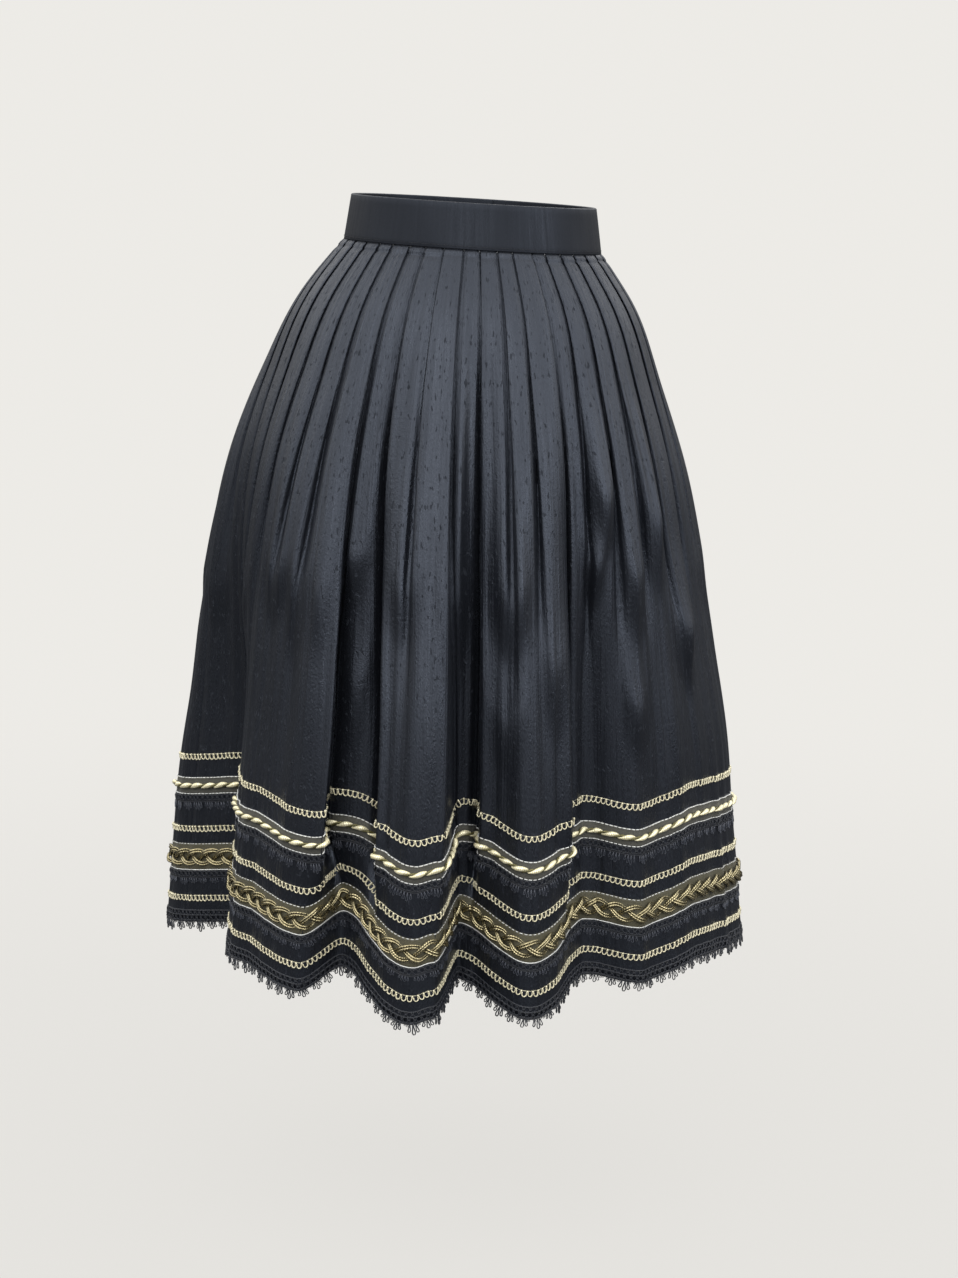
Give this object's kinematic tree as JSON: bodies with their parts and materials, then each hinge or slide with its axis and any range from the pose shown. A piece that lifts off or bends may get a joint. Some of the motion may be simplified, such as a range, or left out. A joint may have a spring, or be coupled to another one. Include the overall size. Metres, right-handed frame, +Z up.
{
  "type": "flared skirt",
  "caption": "Full pleated dirndl skirt as worn, hollow, with a lapped waistband and rows of braid and corded ribbon above the hem.",
  "frame": {"origin": "centre of the waistband, half way up it, where the wearer's waist holds it", "axes": "+Z up out of the waistband, front of the skirt towards -Y, +X to the viewer's right from the front"},
  "size_m": [0.5992, 0.5488, 0.7756],
  "materials": {
    "silk": "black slubbed silk with a blue grey sheen",
    "gold_gimp": "pale gold metallic thread gimp",
    "corded_ribbon": "olive ribbon with gold twisted and plaited cord",
    "black_gimp": "blue black gimp braid with thread loops"
  },
  "bodies": {
    "root": {"waistband": "silk", "back_button": "silk", "skirt_front": "silk", "skirt_back": "silk", "top_chain_braid": "gold_gimp", "middle_chain_braid": "gold_gimp", "bottom_chain_braid": "gold_gimp", "rope_ribbon": "corded_ribbon", "plait_ribbon": "corded_ribbon", "upper_black_braid": "black_gimp", "lower_black_braid": "black_gimp", "hem_braid": "black_gimp"}
  },
  "joints": []
}
